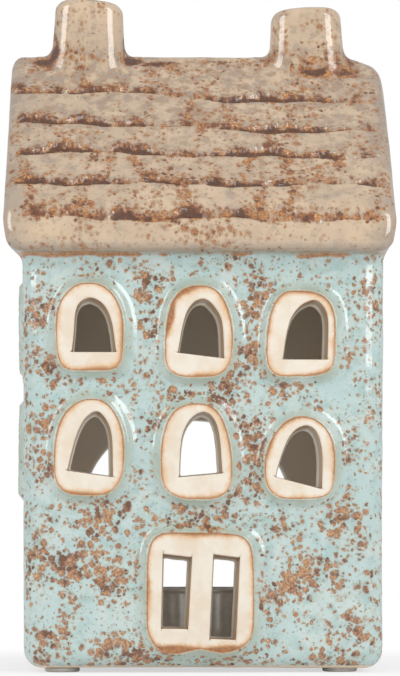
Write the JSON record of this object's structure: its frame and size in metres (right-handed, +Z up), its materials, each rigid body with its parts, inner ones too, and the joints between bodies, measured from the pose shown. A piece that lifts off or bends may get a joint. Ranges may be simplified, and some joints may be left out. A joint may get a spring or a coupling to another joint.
{
  "type": "tealight house",
  "caption": "Narrow ceramic house with arched cut-out windows, a two-pane door, a gabled roof and a pair of chimneys, lit from inside by a tealight put in through the back.",
  "frame": {"origin": "on the ground, under the middle of the house", "axes": "+Z up; +X to the right seen from the front; +Y towards the back with the arch"},
  "size_m": [0.0894, 0.084, 0.1605],
  "materials": {
    "wall_glaze": "glossy pale aqua glaze with rusty speckle",
    "base_glaze": "glossy pale aqua glaze, bare clay underneath",
    "roof_glaze": "glossy beige glaze with dark brown pooled in the grooves",
    "bare_clay": "matte cream clay toasted brown at the edges",
    "foot_rubber": "matte grey",
    "cup_aluminium": "bright thin sheet",
    "candle_wax": "milky white wax",
    "wick_cotton": "waxed cotton",
    "sustainer_tin": "tinned sheet"
  },
  "bodies": {
    "house": {"floor_slab": "base_glaze", "front_wall": "wall_glaze", "back_wall": "wall_glaze", "left_wall": "wall_glaze", "right_wall": "wall_glaze", "roof_front": "roof_glaze", "roof_back": "roof_glaze", "chimney_left": "roof_glaze", "chimney_right": "roof_glaze", "door_frame": "bare_clay", "window_frame_front_lower_left": "bare_clay", "window_frame_front_lower_middle": "bare_clay", "window_frame_front_lower_right": "bare_clay", "window_frame_front_upper_left": "bare_clay", "window_frame_front_upper_middle": "bare_clay", "window_frame_front_upper_right": "bare_clay", "window_frame_left_lower_back": "bare_clay", "window_frame_left_lower_front": "bare_clay", "window_frame_left_upper_back": "bare_clay", "window_frame_left_upper_front": "bare_clay", "window_frame_right_lower_front": "bare_clay", "window_frame_right_lower_back": "bare_clay", "window_frame_right_upper_front": "bare_clay", "window_frame_right_upper_back": "bare_clay", "foot_pad_front_left": "foot_rubber", "foot_pad_back_left": "foot_rubber", "foot_pad_front_right": "foot_rubber", "foot_pad_back_right": "foot_rubber"},
    "tealight": {"tealight_cup": "cup_aluminium", "tealight_wax": "candle_wax", "tealight_wick": "wick_cotton", "wick_sustainer": "sustainer_tin"}
  },
  "joints": [
    {"name": "tealight_lift_out", "type": "slide", "parent": "house", "child": "tealight", "axis": [0, 0.866, 0.5], "range_m": [0, 0.08]}
  ]
}
